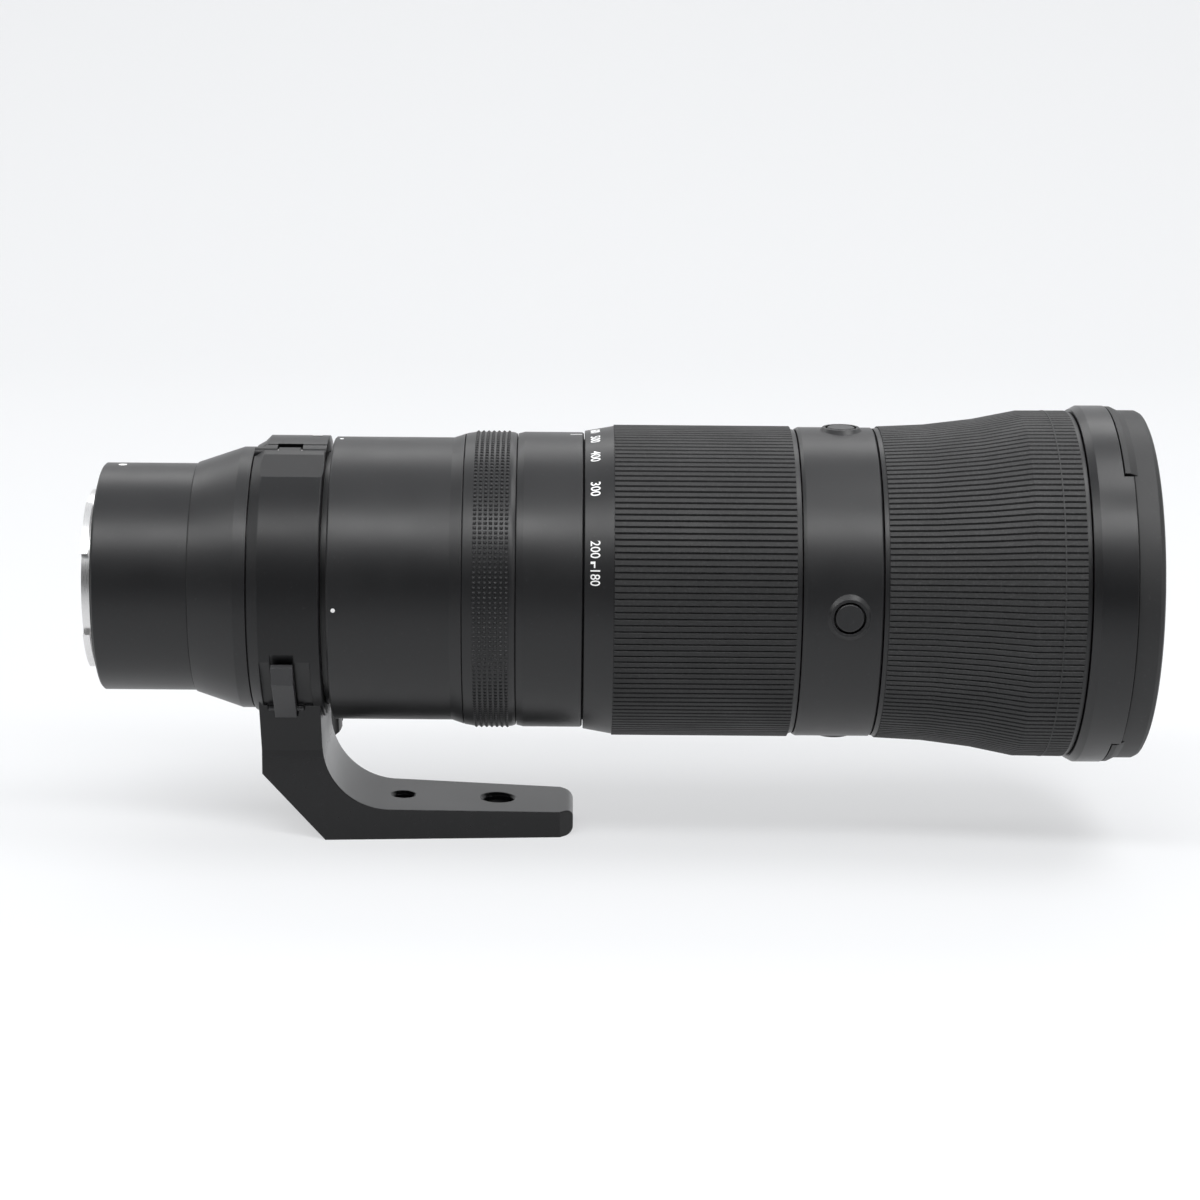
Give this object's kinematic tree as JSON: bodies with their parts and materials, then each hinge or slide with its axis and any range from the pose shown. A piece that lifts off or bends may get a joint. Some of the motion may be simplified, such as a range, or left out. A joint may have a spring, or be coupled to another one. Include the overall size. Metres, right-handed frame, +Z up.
{
  "type": "telephoto zoom lens",
  "caption": "Long telephoto zoom lens with internal zoom and focus, ribbed zoom and focus rings, function buttons, rear bayonet and a turning tripod collar with a foot.",
  "frame": {"origin": "centre of the bayonet's flange plane, on the optical axis", "axes": "+X along the optical axis to the front of the lens, +Z up, the tripod foot at -Z, +Y to the left seen from behind the camera"},
  "size_m": [0.3193, 0.1092, 0.1332],
  "materials": {
    "barrel_metal": "black satin paint over light alloy",
    "inner_metal": "black anodised, matte",
    "mount_metal": "bright turned",
    "screw_steel": "bright",
    "blade_steel": "blackened spring steel",
    "rubber_grip": "matte, ribbed",
    "seal_rubber": "smooth",
    "black_plastic": "fine satin",
    "contact_gold": "gold plated",
    "coated_glass": "multi-coated",
    "motor_steel": "satin",
    "board_green": "satin"
  },
  "bodies": {
    "barrel": {"mount_bayonet": "mount_metal", "mount_seal": "seal_rubber", "mount_screws": "screw_steel", "contact_block": "black_plastic", "contact_pins": "contact_gold", "rear_barrel": "barrel_metal", "rear_cell": "inner_metal", "rear_element": "coated_glass", "main_board": "board_green", "rear_cone": "barrel_metal", "mid_barrel": "barrel_metal", "switch_panel": "black_plastic", "index_ring": "barrel_metal", "core_barrel": "inner_metal", "guide_tube": "inner_metal", "button_ring": "barrel_metal", "front_ring": "barrel_metal", "front_rim": "barrel_metal", "front_cell": "inner_metal", "front_element": "coated_glass", "iris_housing": "inner_metal", "focus_motor": "motor_steel", "drive_rod": "screw_steel", "guide_rods": "screw_steel"},
    "control_ring": {"control_ring": "barrel_metal"},
    "zoom_ring": {"zoom_sleeve": "barrel_metal", "zoom_grip": "rubber_grip", "cam_tube": "inner_metal"},
    "variator": {"variator_cell": "inner_metal", "variator_lens": "coated_glass"},
    "compensator": {"compensator_cell": "inner_metal", "compensator_lens": "coated_glass"},
    "focus_ring": {"focus_sleeve": "barrel_metal", "focus_grip": "rubber_grip"},
    "focus_group": {"focus_cell": "inner_metal", "focus_lens": "coated_glass"},
    "iris_ring": {"iris_ring": "inner_metal"},
    "vr_yoke": {"vr_yoke": "inner_metal"},
    "vr_group": {"vr_cell": "inner_metal", "vr_lens": "coated_glass"},
    "collar": {"collar_foot": "barrel_metal", "hinge_pin": "screw_steel"},
    "collar_cap": {"collar_cap": "barrel_metal"},
    "clamp_knob": {"clamp_knob": "black_plastic"},
    "latch_lever": {"latch_lever": "black_plastic"},
    "focus_mode_switch": {"focus_mode_switch": "black_plastic"},
    "limiter_switch": {"limiter_switch": "black_plastic"},
    "iris_blade_1": {"iris_blade_1": "blade_steel"},
    "iris_blade_2": {"iris_blade_2": "blade_steel"},
    "iris_blade_3": {"iris_blade_3": "blade_steel"},
    "iris_blade_4": {"iris_blade_4": "blade_steel"},
    "iris_blade_5": {"iris_blade_5": "blade_steel"},
    "iris_blade_6": {"iris_blade_6": "blade_steel"},
    "iris_blade_7": {"iris_blade_7": "blade_steel"},
    "iris_blade_8": {"iris_blade_8": "blade_steel"},
    "iris_blade_9": {"iris_blade_9": "blade_steel"},
    "button_near": {"button_near": "black_plastic"},
    "button_top": {"button_top": "black_plastic"},
    "button_far": {"button_far": "black_plastic"},
    "button_bottom": {"button_bottom": "black_plastic"}
  },
  "joints": [
    {"name": "control_ring_turn", "type": "hinge", "parent": "barrel", "child": "control_ring", "pos_m": [0.118, 0, 0], "axis": [1, 0, 0], "continuous": true},
    {"name": "zoom_turn", "type": "hinge", "parent": "barrel", "child": "zoom_ring", "pos_m": [0.18, 0, 0], "axis": [1, 0, 0], "range_deg": [-70, 0]},
    {"name": "variator_slide", "type": "slide", "parent": "barrel", "child": "variator", "axis": [1, 0, 0], "range_m": [0, 0.03]},
    {"name": "compensator_slide", "type": "slide", "parent": "barrel", "child": "compensator", "axis": [1, 0, 0], "range_m": [-0.012, 0]},
    {"name": "focus_ring_turn", "type": "hinge", "parent": "barrel", "child": "focus_ring", "pos_m": [0.264, 0, 0], "axis": [1, 0, 0], "continuous": true},
    {"name": "focus_slide", "type": "slide", "parent": "barrel", "child": "focus_group", "axis": [1, 0, 0], "range_m": [0, 0.012]},
    {"name": "iris_turn", "type": "hinge", "parent": "barrel", "child": "iris_ring", "pos_m": [0.12, 0, 0], "axis": [1, 0, 0], "range_deg": [-26, 0]},
    {"name": "vr_lift", "type": "slide", "parent": "barrel", "child": "vr_yoke", "axis": [0, 0, 1], "range_m": [-0.001, 0.001], "stiffness_N_per_m": 8000},
    {"name": "vr_shift", "type": "slide", "parent": "vr_yoke", "child": "vr_group", "axis": [0, 1, 0], "range_m": [-0.001, 0.001], "stiffness_N_per_m": 8000},
    {"name": "collar_turn", "type": "hinge", "parent": "barrel", "child": "collar", "pos_m": [0.0577, 0, 0], "axis": [1, 0, 0], "continuous": true},
    {"name": "cap_open", "type": "hinge", "parent": "collar", "child": "collar_cap", "pos_m": [0.0577, -0.00706, 0.04003], "axis": [1, 0, 0], "range_deg": [0, 50]},
    {"name": "clamp_turn", "type": "hinge", "parent": "collar", "child": "clamp_knob", "pos_m": [0.0577, 0.02868, -0.04257], "axis": [0, 0.3971, -0.9178], "continuous": true},
    {"name": "latch_open", "type": "hinge", "parent": "collar", "child": "latch_lever", "pos_m": [0.057, -0.02511, -0.03464], "axis": [1, 0, 0], "range_deg": [0, 12], "stiffness_Nm_per_rad": 0.02},
    {"name": "focus_mode_slide", "type": "slide", "parent": "barrel", "child": "focus_mode_switch", "axis": [0, 0, 1], "range_m": [-0.003, 0]},
    {"name": "limiter_slide", "type": "slide", "parent": "barrel", "child": "limiter_switch", "axis": [0, 0, 1], "range_m": [-0.003, 0]},
    {"name": "blade_1_turn", "type": "hinge", "parent": "barrel", "child": "iris_blade_1", "pos_m": [0.114, 0.0354, 0], "axis": [1, 0, 0], "range_deg": [0, 34]},
    {"name": "blade_2_turn", "type": "hinge", "parent": "barrel", "child": "iris_blade_2", "pos_m": [0.114, 0.02712, 0.02275], "axis": [1, 0, 0], "range_deg": [0, 34]},
    {"name": "blade_3_turn", "type": "hinge", "parent": "barrel", "child": "iris_blade_3", "pos_m": [0.114, 0.00615, 0.03486], "axis": [1, 0, 0], "range_deg": [0, 34]},
    {"name": "blade_4_turn", "type": "hinge", "parent": "barrel", "child": "iris_blade_4", "pos_m": [0.114, -0.0177, 0.03066], "axis": [1, 0, 0], "range_deg": [0, 34]},
    {"name": "blade_5_turn", "type": "hinge", "parent": "barrel", "child": "iris_blade_5", "pos_m": [0.114, -0.03327, 0.01211], "axis": [1, 0, 0], "range_deg": [0, 34]},
    {"name": "blade_6_turn", "type": "hinge", "parent": "barrel", "child": "iris_blade_6", "pos_m": [0.114, -0.03327, -0.01211], "axis": [1, 0, 0], "range_deg": [0, 34]},
    {"name": "blade_7_turn", "type": "hinge", "parent": "barrel", "child": "iris_blade_7", "pos_m": [0.114, -0.0177, -0.03066], "axis": [1, 0, 0], "range_deg": [0, 34]},
    {"name": "blade_8_turn", "type": "hinge", "parent": "barrel", "child": "iris_blade_8", "pos_m": [0.114, 0.00615, -0.03486], "axis": [1, 0, 0], "range_deg": [0, 34]},
    {"name": "blade_9_turn", "type": "hinge", "parent": "barrel", "child": "iris_blade_9", "pos_m": [0.114, 0.02712, -0.02275], "axis": [1, 0, 0], "range_deg": [0, 34]},
    {"name": "button_near_press", "type": "slide", "parent": "barrel", "child": "button_near", "axis": [0, 1, 0], "range_m": [0, 0.0006], "stiffness_N_per_m": 400},
    {"name": "button_top_press", "type": "slide", "parent": "barrel", "child": "button_top", "axis": [0, 0, -1], "range_m": [0, 0.0006], "stiffness_N_per_m": 400},
    {"name": "button_far_press", "type": "slide", "parent": "barrel", "child": "button_far", "axis": [0, -1, 0], "range_m": [0, 0.0006], "stiffness_N_per_m": 400},
    {"name": "button_bottom_press", "type": "slide", "parent": "barrel", "child": "button_bottom", "axis": [0, 0, 1], "range_m": [0, 0.0006], "stiffness_N_per_m": 400}
  ],
  "couplings": [
    {"joint": "variator_slide", "follows": "zoom_turn", "m_per_rad": -0.024555},
    {"joint": "compensator_slide", "follows": "zoom_turn", "m_per_rad": 0.0098221},
    {"joint": "blade_1_turn", "follows": "iris_turn", "ratio": -1.3077},
    {"joint": "blade_2_turn", "follows": "iris_turn", "ratio": -1.3077},
    {"joint": "blade_3_turn", "follows": "iris_turn", "ratio": -1.3077},
    {"joint": "blade_4_turn", "follows": "iris_turn", "ratio": -1.3077},
    {"joint": "blade_5_turn", "follows": "iris_turn", "ratio": -1.3077},
    {"joint": "blade_6_turn", "follows": "iris_turn", "ratio": -1.3077},
    {"joint": "blade_7_turn", "follows": "iris_turn", "ratio": -1.3077},
    {"joint": "blade_8_turn", "follows": "iris_turn", "ratio": -1.3077},
    {"joint": "blade_9_turn", "follows": "iris_turn", "ratio": -1.3077}
  ]
}
